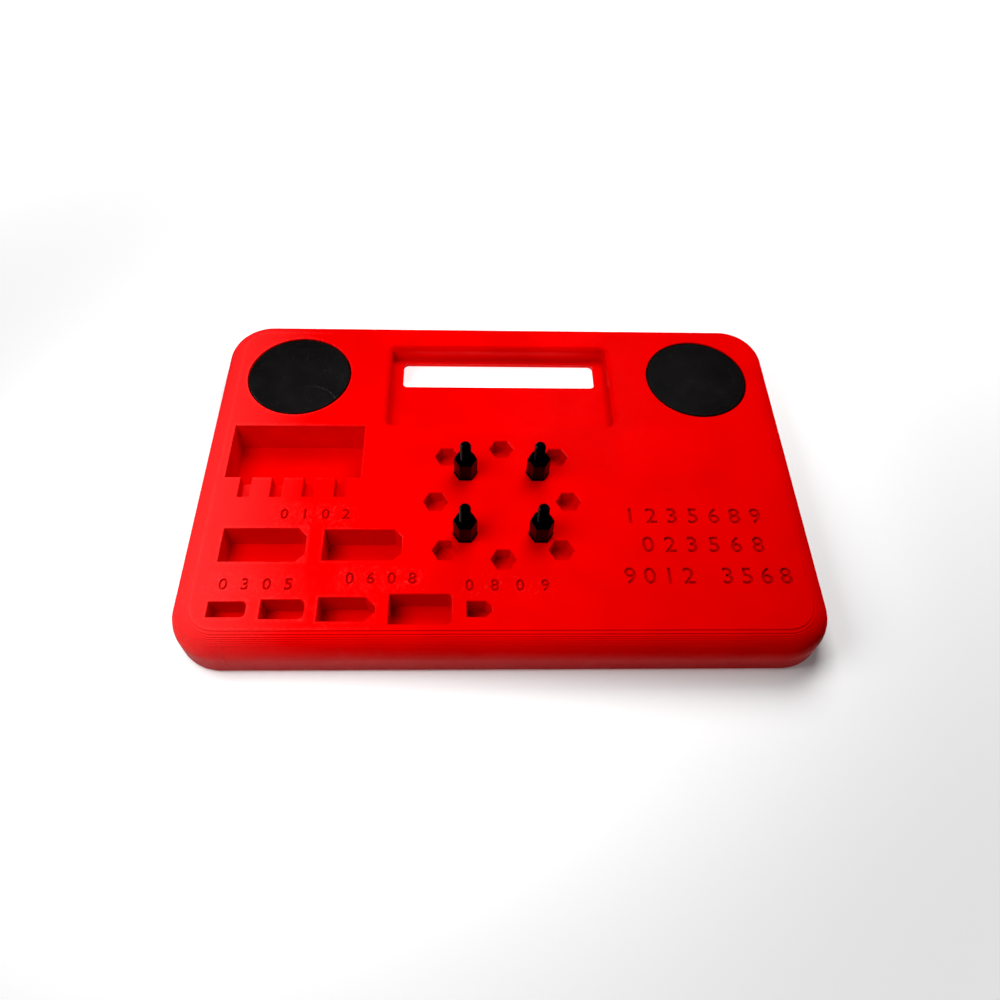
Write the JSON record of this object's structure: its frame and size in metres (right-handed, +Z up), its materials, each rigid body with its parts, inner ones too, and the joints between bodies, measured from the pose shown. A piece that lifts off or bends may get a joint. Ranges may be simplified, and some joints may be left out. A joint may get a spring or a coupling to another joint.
{
  "type": "soldering work plate",
  "caption": "Printed bench plate for soldering small boards and connectors: connector pockets, comb tray, hex sockets with push-in standoffs, magnets and a carry slot.",
  "frame": {"origin": "middle of the footprint, on the bench under the feet", "axes": "+X to the right along the plate's long side, +Y towards the edge with the carry slot and magnets, +Z up"},
  "size_m": [0.167, 0.1124, 0.0252],
  "materials": {
    "red_print": "printed red plastic, satin, fine layer lines",
    "black_nylon": "moulded black nylon, soft gloss",
    "magnet_rubber": "smooth black rubber, satin",
    "zinc_steel": "zinc plated steel",
    "magnet_nickel": "nickel plated",
    "foam_tape": "white foam tape",
    "foot_rubber": "matte black rubber"
  },
  "bodies": {
    "root": {"base_plate": "red_print", "left_magnet_jacket": "magnet_rubber", "left_magnet_backing": "zinc_steel", "left_magnet_core_1": "magnet_nickel", "left_magnet_core_2": "magnet_nickel", "left_magnet_core_3": "magnet_nickel", "left_magnet_core_4": "magnet_nickel", "left_magnet_tape": "foam_tape", "right_magnet_jacket": "magnet_rubber", "right_magnet_backing": "zinc_steel", "right_magnet_core_1": "magnet_nickel", "right_magnet_core_2": "magnet_nickel", "right_magnet_core_3": "magnet_nickel", "right_magnet_core_4": "magnet_nickel", "right_magnet_tape": "foam_tape", "foot_front_left": "foot_rubber", "foot_front_right": "foot_rubber", "foot_back_left": "foot_rubber", "foot_back_right": "foot_rubber"},
    "standoff_front_left": {"standoff_front_left": "black_nylon"},
    "standoff_front_right": {"standoff_front_right": "black_nylon"},
    "standoff_back_left": {"standoff_back_left": "black_nylon"},
    "standoff_back_right": {"standoff_back_right": "black_nylon"}
  },
  "joints": [
    {"name": "standoff_front_left_pull", "type": "slide", "parent": "root", "child": "standoff_front_left", "axis": [0, 0, 1], "range_m": [0, 0.018]},
    {"name": "standoff_front_right_pull", "type": "slide", "parent": "root", "child": "standoff_front_right", "axis": [0, 0, 1], "range_m": [0, 0.018]},
    {"name": "standoff_back_left_pull", "type": "slide", "parent": "root", "child": "standoff_back_left", "axis": [0, 0, 1], "range_m": [0, 0.018]},
    {"name": "standoff_back_right_pull", "type": "slide", "parent": "root", "child": "standoff_back_right", "axis": [0, 0, 1], "range_m": [0, 0.018]}
  ]
}
